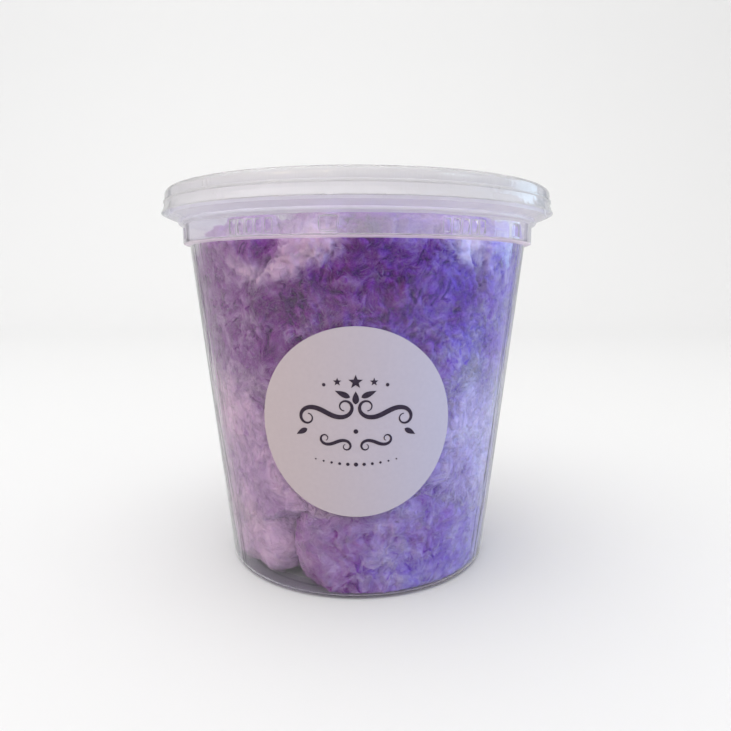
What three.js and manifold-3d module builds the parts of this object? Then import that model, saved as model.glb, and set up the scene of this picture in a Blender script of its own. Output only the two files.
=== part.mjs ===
// A tub of cotton candy: a clear, tapered deli tub with a push-on lid, packed with torn tufts of
// spun sugar, and a round paper label on its front. Millimetres, +Z up, the front faces -Y, and
// the origin is the middle of the foot on which the tub stands.
import * as THREE from "three";
import { ImprovedNoise } from "three/addons/math/ImprovedNoise.js";
import { mergeVertices } from "three/addons/utils/BufferGeometryUtils.js";
import Module from "manifold-3d";

const wasm = await Module();
wasm.setup();

// ---- driving dimensions ------------------------------------------------------------------------
const OVERALL_HEIGHT = 112.7;
const LIP_RADIUS = 59.2; // the flared lip of the lid, the widest circle of all
const FOOT_RADIUS = 41.4; // the outside of the tapered wall where it meets the foot
const WALL_TOP_RADIUS = 51.5; // the outside of the tapered wall under the stacking step
const WALL_TOP_HEIGHT = 96.3;
const TUB_SHEET = 0.6; // thickness of the tub's plastic
const LID_SHEET = 0.5; // thickness of the lid's plastic
const LABEL_RADIUS = 25.4; // a two inch round label
const LABEL_HEIGHT = 50.6; // the label's middle above the table
const TOUCH_GAP = 0.3; // between pieces that rest on each other
const ROUND_SIDES = 64; // sides of every turned piece

// ---- shared shapes -----------------------------------------------------------------------------
// Turns a closed profile of [radius, height] pairs round the vertical axis.
function turned(profile) {
  const points = profile.map(([radius, height]) => new THREE.Vector2(radius, height));
  return new THREE.LatheGeometry(points, ROUND_SIDES).rotateX(Math.PI / 2);
}

// [radius, height] pairs along an arc, its angles in degrees from outwards (0) to upwards (90).
function arc(centreRadius, centreHeight, size, from, to, steps) {
  return Array.from({ length: steps + 1 }, (_, i) => {
    const angle = THREE.MathUtils.degToRad(THREE.MathUtils.lerp(from, to, i / steps));
    return [centreRadius + size * Math.cos(angle), centreHeight + size * Math.sin(angle)];
  });
}

// The closed profile of a sheet: a visible outline from the axis to the free edge, and the same
// outline moved by the thickness to its left side, or to its right side where that is negative.
function sheetProfile(outline, thickness) {
  const points = outline.map(([radius, height]) => new THREE.Vector2(radius, height));
  const leftOf = (a, b) => new THREE.Vector2(a.y - b.y, b.x - a.x).normalize();
  const farSide = points.map((point, i) => {
    const before = i > 0 ? leftOf(points[i - 1], point) : leftOf(point, points[i + 1]);
    const after = i < points.length - 1 ? leftOf(point, points[i + 1]) : before;
    const bisector = before.clone().add(after).normalize();
    const reach = thickness / bisector.dot(after);
    return [point.x + bisector.x * reach, point.y + bisector.y * reach];
  });
  const closed = [...outline, ...farSide.reverse()];
  return thickness > 0 ? closed : closed.reverse();
}

// A closed mesh as a solid that can be joined to another one.
function solidOf(geometry) {
  const bare = new THREE.BufferGeometry()
    .setAttribute("position", geometry.getAttribute("position"))
    .setIndex(geometry.index);
  const merged = mergeVertices(bare, 1e-3);
  const corners = Array.from(merged.index.array);
  const triangles = [];
  for (let i = 0; i < corners.length; i += 3) {
    const [a, b, c] = corners.slice(i, i + 3);
    if (a !== b && b !== c && c !== a) triangles.push(a, b, c);
  }
  const vertProperties = merged.attributes.position.array;
  const triVerts = new Uint32Array(triangles);
  return new wasm.Manifold(new wasm.Mesh({ numProp: 3, vertProperties, triVerts }));
}

function geometryOf(solid) {
  const mesh = solid.getMesh();
  return new THREE.BufferGeometry()
    .setAttribute("position", new THREE.BufferAttribute(mesh.vertProperties, 3))
    .setIndex(new THREE.BufferAttribute(mesh.triVerts, 1));
}

function named(name, geometry, material) {
  const mesh = new THREE.Mesh(geometry, material);
  mesh.name = name;
  return mesh;
}

// ---- the tub: one formed sheet, from the pushed-up base to the rim that the lid grips -----------
const FOOT_CORNER = 2.2; // radius of the round edge between foot and wall
const FOOT_RING_WIDTH = 3.4; // the flat ring that touches the table
const BASE_PUSH_UP = 1.4; // how far the middle of the base stands clear of the table
const STEP_TOP_HEIGHT = 97.5; // the stacking step above the tapered wall
const BAND_RADIUS = 53.4; // the outside of the upright band above the step
const BAND_TOP_HEIGHT = 102.4;
const SHOULDER_BEND = [54.4, 103.7]; // the hollow of the flared shoulder: radius and height
const RIM_RADIUS = 57.4;
const RIM_BOTTOM_HEIGHT = 105.3;
const RIM_TOP_HEIGHT = 110.8;
const PADS = 24; // upright pads inside the band, which keep nested tubs apart
const PAD_WIDTH = 4.4;
const PAD_HEIGHT = 3.8;
const PAD_RELIEF = 0.5;

const wallSlope = (WALL_TOP_RADIUS - FOOT_RADIUS) / (WALL_TOP_HEIGHT - FOOT_CORNER);
const wallRadius = (height) => FOOT_RADIUS + wallSlope * (height - FOOT_CORNER);
const baseInside = BASE_PUSH_UP + TUB_SHEET;

function tubGeometry() {
  const ringOuter = FOOT_RADIUS - FOOT_CORNER;
  const ringInner = ringOuter - FOOT_RING_WIDTH;
  const outline = [
    [0, BASE_PUSH_UP],
    [ringInner - BASE_PUSH_UP, BASE_PUSH_UP],
    [ringInner, 0],
    ...arc(ringOuter, FOOT_CORNER, FOOT_CORNER, -90, 0, 3),
    [WALL_TOP_RADIUS, WALL_TOP_HEIGHT],
    [BAND_RADIUS, STEP_TOP_HEIGHT],
    [BAND_RADIUS, BAND_TOP_HEIGHT],
    SHOULDER_BEND,
    [RIM_RADIUS, RIM_BOTTOM_HEIGHT],
    [RIM_RADIUS, RIM_TOP_HEIGHT],
  ];
  const bandInside = BAND_RADIUS - TUB_SHEET;
  const padMiddle = (STEP_TOP_HEIGHT + BAND_TOP_HEIGHT) / 2 + TUB_SHEET;
  const padShape = new THREE.BoxGeometry(2 * PAD_RELIEF, PAD_WIDTH, PAD_HEIGHT);
  padShape.translate(bandInside, 0, padMiddle);
  let tub = solidOf(turned(sheetProfile(outline, TUB_SHEET)));
  for (let i = 0; i < PADS; i++) {
    const turn = (2 * Math.PI * (i + 0.5)) / PADS;
    tub = tub.add(solidOf(padShape.clone().rotateZ(turn)));
  }
  return geometryOf(tub);
}

// ---- the lid: a recessed panel, a hollow ring over the tub's rim, and a flared lip ---------------
const PANEL_RADIUS = 51.2;
const PANEL_HEIGHT = 107.6; // the top face of the recessed panel
const RING_INSIDE_RADIUS = 53.3; // where the slope up from the panel reaches the ring
const RING_INSIDE_CORNER = 1.2;
const RING_OUTSIDE_CORNER = 1.6;
const SKIRT_TOP_RADIUS = 58.1;
const SKIRT_RADIUS = 58.4; // the outside of the skirt where the lip flares out of it
const LIP_RISE = 1.6;
const LIP_HEIGHT = 106.1; // the lid's lower edge

function lidGeometry() {
  const insideCorner = RING_INSIDE_RADIUS + RING_INSIDE_CORNER;
  const outsideCorner = SKIRT_TOP_RADIUS - RING_OUTSIDE_CORNER;
  const outline = [
    [0, PANEL_HEIGHT],
    [PANEL_RADIUS, PANEL_HEIGHT],
    ...arc(insideCorner, OVERALL_HEIGHT - RING_INSIDE_CORNER, RING_INSIDE_CORNER, 180, 90, 2),
    ...arc(outsideCorner, OVERALL_HEIGHT - RING_OUTSIDE_CORNER, RING_OUTSIDE_CORNER, 90, 0, 3),
    [SKIRT_RADIUS, LIP_HEIGHT + LIP_RISE],
    [LIP_RADIUS, LIP_HEIGHT],
  ];
  return turned(sheetProfile(outline, -LID_SHEET));
}

// ---- the label: a round of paper bent round the tapered wall ------------------------------------
const LABEL_RINGS = 4;
const LABEL_SIDES = 40;
const PAPER = 0.3;

// A point of the label, from its place on the flat paper and its distance off the wall.
function onWall(across, up, off) {
  const height = LABEL_HEIGHT + up;
  const turn = across / wallRadius(height);
  const radius = wallRadius(height) + off;
  return [radius * Math.sin(turn), -radius * Math.cos(turn), height];
}

function labelGeometry() {
  const corners = [];
  for (const off of [TOUCH_GAP, TOUCH_GAP + PAPER]) {
    corners.push(...onWall(0, 0, off));
    for (let ring = 1; ring <= LABEL_RINGS; ring++) {
      const size = (LABEL_RADIUS * ring) / LABEL_RINGS;
      for (let side = 0; side < LABEL_SIDES; side++) {
        const angle = (2 * Math.PI * side) / LABEL_SIDES;
        corners.push(...onWall(size * Math.cos(angle), size * Math.sin(angle), off));
      }
    }
  }
  const cornersOfFace = 1 + LABEL_RINGS * LABEL_SIDES;
  const cornerAt = (face, ring, side) => {
    const inRings = ring === 0 ? 0 : 1 + (ring - 1) * LABEL_SIDES + (side % LABEL_SIDES);
    return face * cornersOfFace + inRings;
  };
  const back = 0;
  const front = 1;
  const triangles = [];
  const bothFaces = (a, b, c) => {
    triangles.push(cornerAt(front, ...a), cornerAt(front, ...b), cornerAt(front, ...c));
    triangles.push(cornerAt(back, ...a), cornerAt(back, ...c), cornerAt(back, ...b));
  };
  for (let side = 0; side < LABEL_SIDES; side++) {
    const next = side + 1;
    bothFaces([0, 0], [1, side], [1, next]);
    for (let ring = 1; ring < LABEL_RINGS; ring++) {
      bothFaces([ring, side], [ring + 1, side], [ring + 1, next]);
      bothFaces([ring, side], [ring + 1, next], [ring, next]);
    }
    const [a, b] = [cornerAt(back, LABEL_RINGS, side), cornerAt(back, LABEL_RINGS, next)];
    const [c, d] = [cornerAt(front, LABEL_RINGS, next), cornerAt(front, LABEL_RINGS, side)];
    triangles.push(a, b, c, a, c, d);
  }
  return new THREE.BufferGeometry()
    .setAttribute("position", new THREE.Float32BufferAttribute(corners, 3))
    .setIndex(triangles);
}

// ---- the cotton candy: torn tufts, pressed against the wall and against each other ---------------
// Each tuft is a lumpy ball about its own middle. What stops its growth is the wall, the base, the
// lid and a plane between it and each neighbour, so the tufts fill the tub and never cross.
const TUFT_ROUNDING = 22; // higher gives sharper edges where tufts are squashed flat
const LARGE_TUFT = 19; // a tuft above this size is divided more finely
const SIZE_BIAS = 0.6; // how far the plane between two tufts leans towards the smaller one
const LUMP_SPACING = 13; // from one soft lump of a tuft to the next
const CREASE_DEPTH = 0.13; // share of the tuft's radius that the deepest crease cuts in
const CREASE_WIDTH = 0.35; // level of the noise at which a crease starts
const WALL_CLEARANCE = 0.7;
const noise = new ImprovedNoise();

// azimuth in degrees from the front, distance from the axis, height, and size as a radius; and the
// height of the tuft's top, where the fill doesn't reach the lid
const TUFTS = [
  { name: "tuft_low_front", azimuth: 22, out: 17, height: 19, size: 34 },
  { name: "tuft_low_left", azimuth: -54, out: 25, height: 17, size: 19 },
  { name: "tuft_low_right", azimuth: 122, out: 24, height: 19, size: 28 },
  { name: "tuft_low_back", azimuth: -138, out: 22, height: 18, size: 29 },
  { name: "tuft_mid_left", azimuth: -52, out: 24, height: 43, size: 31 },
  { name: "tuft_mid_right", azimuth: 58, out: 25, height: 50, size: 29 },
  { name: "tuft_mid_back", azimuth: 172, out: 22, height: 47, size: 34 },
  { name: "tuft_upper_front", azimuth: 4, out: 20, height: 79, size: 36 },
  { name: "tuft_upper_left", azimuth: -98, out: 28, height: 73, size: 31 },
  { name: "tuft_upper_right", azimuth: 84, out: 29, height: 75, size: 30 },
  { name: "tuft_upper_back", azimuth: 176, out: 25, height: 75, size: 33 },
  { name: "tuft_top_left", azimuth: -50, out: 26, height: 89, size: 21, top: 97 },
  { name: "tuft_top_right", azimuth: 66, out: 30, height: 90, size: 21, top: 98 },
  { name: "tuft_top_back", azimuth: 176, out: 16, height: 94, size: 27, top: 103 },
].map((tuft) => {
  const turn = THREE.MathUtils.degToRad(tuft.azimuth);
  const middle = new THREE.Vector3(Math.sin(turn), -Math.cos(turn), 0);
  return { ...tuft, middle: middle.multiplyScalar(tuft.out).setZ(tuft.height) };
});

// The way from a middle to the tapered wall, where the cone about the axis stops a straight line.
function wayToWall(middle, direction) {
  const roomHere = wallRadius(middle.z) - TUB_SHEET - WALL_CLEARANCE;
  const a = direction.x ** 2 + direction.y ** 2 - (wallSlope * direction.z) ** 2;
  const b = middle.x * direction.x + middle.y * direction.y - wallSlope * direction.z * roomHere;
  const c = middle.x ** 2 + middle.y ** 2 - roomHere ** 2;
  return (Math.sqrt(Math.max(b * b - a * c, 0)) - b) / a;
}

// The way to the plane between two tufts, which is nearer to the smaller one.
function wayToNeighbour(tuft, other, direction) {
  const between = other.middle.clone().sub(tuft.middle);
  const apart = between.length();
  const closing = between.dot(direction) / apart;
  if (closing <= 0) return Infinity;
  const lean = SIZE_BIAS * (tuft.size ** 2 - other.size ** 2);
  const plane = (apart ** 2 + lean) / (2 * apart);
  return (plane - TOUCH_GAP / 2) / closing;
}

// The smallest of all limits, with the edges between them rounded off.
function tuftReach(tuft, direction) {
  const top = tuft.top ?? PANEL_HEIGHT - LID_SHEET - TOUCH_GAP;
  const upright = direction.z > 0 ? top : baseInside + TOUCH_GAP;
  const others = TUFTS.filter((other) => other !== tuft);
  const limits = [
    tuft.size,
    wayToWall(tuft.middle, direction),
    direction.z === 0 ? Infinity : (upright - tuft.height) / direction.z,
    ...others.map((other) => wayToNeighbour(tuft, other, direction)),
  ];
  const pressed = limits.reduce((sum, limit) => sum + limit ** -TUFT_ROUNDING, 0);
  return pressed ** (-1 / TUFT_ROUNDING);
}

function tuftGeometry(tuft) {
  const ball = new THREE.IcosahedronGeometry(1, tuft.size > LARGE_TUFT ? 4 : 3);
  const tidyBall = mergeVertices(ball.deleteAttribute("normal").deleteAttribute("uv"));
  const corners = tidyBall.attributes.position;
  const direction = new THREE.Vector3();
  for (let i = 0; i < corners.count; i++) {
    direction.fromBufferAttribute(corners, i).normalize();
    const reach = tuftReach(tuft, direction);
    const spot = direction.clone().multiplyScalar(reach).add(tuft.middle).divideScalar(LUMP_SPACING);
    const level = Math.abs(noise.noise(spot.x, spot.y, spot.z));
    const crease = Math.max(0, 1 - level / CREASE_WIDTH) ** 2;
    direction.multiplyScalar(reach * (1 - CREASE_DEPTH * crease)).add(tuft.middle);
    corners.setXYZ(i, direction.x, direction.y, direction.z);
  }
  return tidyBall;
}

// ---- materials and assembly --------------------------------------------------------------------
const clearPlastic = new THREE.MeshStandardMaterial({
  color: 0xe6e8ee,
  roughness: 0.08,
  metalness: 0,
  transparent: true,
  opacity: 0.25,
});
const paper = new THREE.MeshStandardMaterial({ color: 0xe9e4e8, roughness: 0.6, metalness: 0 });
const spunSugar = new THREE.MeshStandardMaterial({ color: 0x8f72b4, roughness: 0.9, metalness: 0 });

const filling = new THREE.Group();
for (const tuft of TUFTS) filling.add(named(tuft.name, tuftGeometry(tuft), spunSugar));

const candyTub = new THREE.Group();
candyTub.add(
  named("tub", tubGeometry(), clearPlastic),
  named("lid", lidGeometry(), clearPlastic),
  named("label", labelGeometry(), paper),
  filling,
);

export default candyTub;
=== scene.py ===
"""A clear deli tub of purple cotton candy with its lid on and a round paper label on its front."""
import math
import random

import bpy
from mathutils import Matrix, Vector, noise
from mathutils.bvhtree import BVHTree


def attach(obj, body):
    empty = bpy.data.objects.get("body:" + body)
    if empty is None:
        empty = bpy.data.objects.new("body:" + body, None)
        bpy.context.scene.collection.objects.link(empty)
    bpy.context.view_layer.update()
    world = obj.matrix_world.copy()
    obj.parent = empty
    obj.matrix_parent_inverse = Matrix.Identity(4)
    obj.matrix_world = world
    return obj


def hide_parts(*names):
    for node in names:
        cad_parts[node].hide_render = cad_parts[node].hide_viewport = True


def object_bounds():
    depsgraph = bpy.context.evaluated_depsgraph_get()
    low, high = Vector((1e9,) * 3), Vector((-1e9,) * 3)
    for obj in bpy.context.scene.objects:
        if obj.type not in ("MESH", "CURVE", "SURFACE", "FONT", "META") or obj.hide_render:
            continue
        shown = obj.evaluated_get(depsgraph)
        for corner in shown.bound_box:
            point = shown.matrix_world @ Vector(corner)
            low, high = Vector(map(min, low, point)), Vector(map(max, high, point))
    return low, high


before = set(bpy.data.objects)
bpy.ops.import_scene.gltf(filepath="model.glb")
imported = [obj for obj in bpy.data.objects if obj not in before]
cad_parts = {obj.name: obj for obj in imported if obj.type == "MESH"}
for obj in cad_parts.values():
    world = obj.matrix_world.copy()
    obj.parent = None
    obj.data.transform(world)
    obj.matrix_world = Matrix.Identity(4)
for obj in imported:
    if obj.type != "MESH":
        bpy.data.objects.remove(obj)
cad_low, cad_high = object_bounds()

# ---- the tub -------------------------------------------------------------------------------------
# A thin tapered tub, vacuum formed from one clear sheet. Its base is pushed up inside a foot ring, a
# stacking step runs under the rim, and above it a band with small pads keeps nested tubs apart.
MM = 0.001
RING_SIDES = 240
SMOOTH_ANGLE = 40  # in degrees: sharper edges stay sharp
BASE_DISC_RADIUS = 12 * MM
TUB_SHEET = 0.6 * MM
FOOT_RADIUS = 41.4 * MM
FOOT_CORNER = 2.2 * MM
FOOT_RING_WIDTH = 3.4 * MM
TROUGH_SLOPE = 2.6 * MM  # the width of the slope from the base down to the foot ring
BASE_PUSH_UP = 1.4 * MM
WALL_TOP_RADIUS = 51.5 * MM
WALL_TOP_HEIGHT = 97.1 * MM
STEP_TOP_HEIGHT = 97.6 * MM
BAND_RADIUS = 53.4 * MM
BAND_TOP_HEIGHT = 102.4 * MM
SHOULDER_BEND = (54.1 * MM, 103.6 * MM)
SHOULDER_BEAD = 0.5 * MM
RIM_RADIUS = 57.4 * MM
RIM_BOTTOM_HEIGHT = 105.3 * MM
RIM_TOP_HEIGHT = 110.8 * MM
PAD_GROUPS = 6
# in each group, the side at which a pad starts, and how many sides wide it is
PAD_STARTS = {0: 3, 22: 1, 24: 1, 26: 1, 28: 1, 30: 1}
FIRST_PAD_TURN = 174  # the side of the ring at which the first group starts
PAD_LOW = 98.6 * MM
PAD_HIGH = 101.9 * MM
PAD_RELIEF = 0.7 * MM
PAD_EDGE = 0.3 * MM  # the width of the slope round a pad
PLASTIC_IOR = 1.45

wall_slope = (WALL_TOP_RADIUS - FOOT_RADIUS) / (WALL_TOP_HEIGHT - FOOT_CORNER)


def wall_radius(height):
    """The outside radius of the tapered wall at a height."""
    return FOOT_RADIUS + wall_slope * (height - FOOT_CORNER)


def arc(radius, height, size, start, end, steps):
    """(radius, height) pairs along an arc, its angles in degrees from outwards to upwards."""
    angles = [math.radians(start + (end - start) * i / steps) for i in range(steps + 1)]
    return [(radius + size * math.cos(a), height + size * math.sin(a)) for a in angles]


def straight(start, end, steps):
    """Points between two (radius, height) pairs, without the first one."""
    shares = [(i + 1) / steps for i in range(steps)]
    return [tuple(a + (b - a) * share for a, b in zip(start, end)) for share in shares]


def raise_rings(name, outline):
    """A round skin, drawn out ring by ring from a disc at its middle to its free edge."""
    bpy.ops.object.select_all(action="DESELECT")
    radius, height = outline[0]
    bpy.ops.mesh.primitive_circle_add(
        vertices=RING_SIDES, radius=radius, fill_type="TRIFAN", location=(0, 0, height)
    )
    piece = bpy.context.object
    piece.name = name
    bpy.ops.object.transform_apply()
    bpy.ops.object.mode_set(mode="EDIT")
    bpy.ops.mesh.select_mode(type="EDGE")
    bpy.ops.mesh.region_to_loop()
    for next_radius, next_height in outline[1:]:
        grow = next_radius / radius
        bpy.ops.mesh.extrude_edges_move()
        bpy.ops.transform.resize(value=(grow, grow, 1), center_override=(0, 0, 0))
        bpy.ops.transform.translate(value=(0, 0, next_height - height))
        radius, height = next_radius, next_height
    bpy.ops.mesh.select_all(action="SELECT")
    bpy.ops.mesh.normals_make_consistent(inside=False)
    bpy.ops.object.mode_set(mode="OBJECT")
    return piece


def thicken(piece, sheet):
    """Gives a skin its sheet thickness, towards its inside, and shades it smooth."""
    solid = piece.modifiers.new("sheet", "SOLIDIFY")
    solid.thickness = sheet
    solid.offset = -1
    solid.use_even_offset = True
    bpy.context.view_layer.objects.active = piece
    bpy.ops.object.modifier_apply(modifier=solid.name)
    piece.select_set(True)
    bpy.ops.object.shade_smooth_by_angle(angle=math.radians(SMOOTH_ANGLE))


ring_outer = FOOT_RADIUS - FOOT_CORNER
ring_inner = ring_outer - FOOT_RING_WIDTH
foot = arc(ring_outer, FOOT_CORNER, FOOT_CORNER, -90, 0, 8)
wall_top = (WALL_TOP_RADIUS, WALL_TOP_HEIGHT)
flare_start = (SHOULDER_BEND[0] + 0.2 * MM, SHOULDER_BEND[1] + 0.55 * MM)
tub = raise_rings(
    "tub_shell",
    [
        (BASE_DISC_RADIUS, BASE_PUSH_UP),
        (ring_inner - TROUGH_SLOPE, BASE_PUSH_UP),
        (ring_inner - 1.4 * MM, BASE_PUSH_UP - 0.2 * MM),
        (ring_inner - 0.5 * MM, 0.25 * MM),
        (ring_inner, 0),
        *foot,
        *straight(foot[-1], wall_top, 30),
        (WALL_TOP_RADIUS + 0.3 * MM, WALL_TOP_HEIGHT + 0.15 * MM),
        (BAND_RADIUS - 0.5 * MM, STEP_TOP_HEIGHT - 0.2 * MM),
        (BAND_RADIUS - 0.1 * MM, STEP_TOP_HEIGHT),
        (BAND_RADIUS, STEP_TOP_HEIGHT + 0.15 * MM),
        (BAND_RADIUS, PAD_LOW),
        (BAND_RADIUS, (PAD_LOW + PAD_HIGH) / 2),
        (BAND_RADIUS, PAD_HIGH),
        (BAND_RADIUS, BAND_TOP_HEIGHT),
        (BAND_RADIUS + 0.1 * MM, BAND_TOP_HEIGHT + 0.3 * MM),
        *arc(SHOULDER_BEND[0], SHOULDER_BEND[1], SHOULDER_BEAD, -100, 60, 6),
        flare_start,
        *straight(flare_start, (RIM_RADIUS, RIM_BOTTOM_HEIGHT), 4),
        (RIM_RADIUS, RIM_TOP_HEIGHT),
    ],
)

group_sides = RING_SIDES // PAD_GROUPS
pad_sides = {start + i for start, width in PAD_STARTS.items() for i in range(width)}
bpy.ops.object.mode_set(mode="EDIT")
bpy.ops.mesh.select_mode(type="FACE")
bpy.ops.mesh.select_all(action="DESELECT")
bpy.ops.object.mode_set(mode="OBJECT")
for face in tub.data.polygons:
    turn = math.atan2(face.center.y, face.center.x) % (2 * math.pi)
    side = int(turn / (2 * math.pi) * RING_SIDES)
    in_band = PAD_LOW < face.center.z < PAD_HIGH and abs(face.normal.z) < 0.1
    face.select = in_band and (side - FIRST_PAD_TURN) % group_sides in pad_sides
bpy.ops.object.mode_set(mode="EDIT")
bpy.ops.mesh.inset(thickness=PAD_EDGE, depth=-PAD_RELIEF)
bpy.ops.object.mode_set(mode="OBJECT")
thicken(tub, TUB_SHEET)


def linear(red, green, blue):
    """A colour given as on a screen, 0 to 255, in the linear values that a shader takes."""
    def channel(value):
        share = value / 255
        return share / 12.92 if share <= 0.04045 else ((share + 0.055) / 1.055) ** 2.4

    return channel(red), channel(green), channel(blue), 1.0


def draw_lines_group():
    """Faint upright lines and waves, which a sheet keeps from being drawn over its mould."""
    group = bpy.data.node_groups.new("draw_lines", "ShaderNodeTree")
    group.interface.new_socket("Strength", in_out="INPUT", socket_type="NodeSocketFloat")
    group.interface.new_socket("Normal", in_out="OUTPUT", socket_type="NodeSocketVector")
    nodes, links = group.nodes, group.links
    given = nodes.new("NodeGroupInput")
    place = nodes.new("ShaderNodeTexCoord")
    stretch = nodes.new("ShaderNodeMapping")
    stretch.inputs["Scale"].default_value = (1, 1, 0.08)
    lines = nodes.new("ShaderNodeTexNoise")
    lines.inputs["Scale"].default_value = 170
    lines.inputs["Detail"].default_value = 4
    bump = nodes.new("ShaderNodeBump")
    bump.inputs["Distance"].default_value = 0.4 * MM
    result = nodes.new("NodeGroupOutput")
    links.new(place.outputs["Object"], stretch.inputs["Vector"])
    links.new(stretch.outputs["Vector"], lines.inputs["Vector"])
    links.new(lines.outputs["Fac"], bump.inputs["Height"])
    links.new(given.outputs["Strength"], bump.inputs["Strength"])
    links.new(bump.outputs["Normal"], result.inputs["Normal"])
    return group


draw_lines = draw_lines_group()


def clear_plastic(name, tint, clearness, roughness, lines_strength, lets_through=1.0):
    """Clear or slightly milky plastic that lets lamps shine through, with the marks of its forming."""
    material = bpy.data.materials.new(name)
    material.use_nodes = True
    nodes, links = material.node_tree.nodes, material.node_tree.links
    plastic = nodes["Principled BSDF"]
    plastic.inputs["Base Color"].default_value = tint
    plastic.inputs["Roughness"].default_value = roughness
    plastic.inputs["IOR"].default_value = PLASTIC_IOR
    plastic.inputs["Transmission Weight"].default_value = clearness
    marks = nodes.new("ShaderNodeGroup")
    marks.node_tree = draw_lines
    marks.inputs["Strength"].default_value = lines_strength
    through = nodes.new("ShaderNodeBsdfTransparent")
    ray = nodes.new("ShaderNodeLightPath")
    share = nodes.new("ShaderNodeMath")
    share.operation = "MULTIPLY"
    share.inputs[1].default_value = lets_through
    either = nodes.new("ShaderNodeMixShader")
    links.new(marks.outputs["Normal"], plastic.inputs["Normal"])
    links.new(ray.outputs["Is Shadow Ray"], share.inputs[0])
    links.new(share.outputs[0], either.inputs["Fac"])
    links.new(plastic.outputs["BSDF"], either.inputs[1])
    links.new(through.outputs["BSDF"], either.inputs[2])
    links.new(either.outputs["Shader"], nodes["Material Output"].inputs["Surface"])
    return material


for sheet in (
    # the foot ring's tint is painted darker: painted shade along the foot, where the tub stands on the
    # table
    clear_plastic("foot_ring_sheet_painted_shade", linear(198, 188, 210), 0.95, 0.06, 0.3, 0.0),
    clear_plastic("clear_wall_sheet", linear(251, 251, 252), 0.985, 0.06, 0.6),
    # the step's sheet is made milky and pale pink so that the lamps light it into a bright line: a painted
    # highlight along the ledge
    clear_plastic("milky_step_sheet_painted_highlight", linear(253, 236, 250), 0.4, 0.25, 0.6),
    clear_plastic("hazy_band_sheet", linear(247, 244, 249), 0.79, 0.06, 0.25),
    clear_plastic("milky_flare_sheet", linear(238, 235, 243), 0.55, 0.16, 0.5),
):
    tub.data.materials.append(sheet)
sheet_starts = (1.0 * MM, WALL_TOP_HEIGHT, STEP_TOP_HEIGHT + 0.02 * MM, BAND_TOP_HEIGHT + 0.5 * MM)
for face in tub.data.polygons:
    face.material_index = sum(face.center.z > start for start in sheet_starts)
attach(tub, "root")
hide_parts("tub")

# ---- the tufts of cotton candy -------------------------------------------------------------------
# Lumps torn off a cloud of spun sugar and pressed into the tub. Each is a mat of fine threads with
# creases and hollows: deep purple where the mat is dense, pale lilac where the threads are thin. Its
# hollows are also painted deeper and its raised parts paler, as painted shade.
BASE_INSIDE = BASE_PUSH_UP + TUB_SHEET
LOW_CRISPNESS = 0.5  # how much of the fine relief is left in the soft sugar in the lower part
LID_UNDERSIDE = 107.1 * MM
WALL_SPACE = 0.35 * MM  # left between the sugar and the plastic
PRESSED_RELIEF = 1.9 * MM  # how deep a hollow stays where the sugar is pressed on the wall
EVEN_VOXEL = 1.2 * MM
AFTER_SMOOTHING = 0.8 * MM  # gives back what the smoothing takes off
LUMP_SIZE = 13 * MM
LUMP_HEIGHT = 1.0 * MM
CLUMP_SIZE = 4.0 * MM
CLUMP_HEIGHT = 0.55 * MM
WISP_SIZE = 1.8 * MM
WISP_STRETCH = 1.6  # how much longer than wide a wisp is
WISP_HEIGHT = 0.35 * MM
SHELL_SHARE = 0.7  # what lies further in than this share of the wall's radius can't be seen
LID_SHELL_FROM = 90 * MM  # what lies above this height can be seen through the lid
SWIRL_SIZE = 11 * MM
SWIRL_REACH = 6  # in mm
FIRST_SMOOTHINGS = 8
LAST_SMOOTHINGS = 4

# the dye, from 0 (pale) to 1 (deep), of the sugar in the lower and in the upper part of the tub
LOW_DYE = 0.37
HIGH_DYE = 0.66
PATCH_END = 4  # the square of how many times its reach a patch goes on
DEEP_FROM = 60 * MM
DEEP_TO = 73 * MM

# how much deeper each tuft's own dye is, and how far it swells past its solid, in mm, until a wall
# or a neighbour stops it
TUFTS = {
    "tuft_low_front": (0.1, 2.6),
    "tuft_low_left": (-0.17, 1.8),
    "tuft_low_right": (0.05, 3.2),
    "tuft_low_back": (0.1, 2.6),
    "tuft_mid_left": (-0.07, 4.2),
    "tuft_mid_right": (-0.05, 4.2),
    "tuft_mid_back": (0.05, 4.2),
    "tuft_upper_front": (0.06, 5.0),
    "tuft_upper_left": (0.07, 5.0),
    "tuft_upper_right": (0.02, 5.0),
    "tuft_upper_back": (0.0, 5.0),
    "tuft_top_left": (0.02, 5.0),
    "tuft_top_right": (-0.08, 4.5),
    "tuft_top_back": (-0.1, 4.5),
}
UPWARD_SWELL = 0.3  # of the swell, where a tuft faces up
TOP_UPWARD_SWELL = 1.1  # of the swell, where a tuft under the lid faces up
DOWNWARD_SWELL = 2.4  # times the swell, where a tuft faces down

# where the sugar keeps off the wall, over the foot on the left: azimuth, height and reach in mm
HOLLOWS = [(-30, 2.0, 12.0), (-50, 4.0, 6.5), (-29, 23.0, 8.5)]
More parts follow.
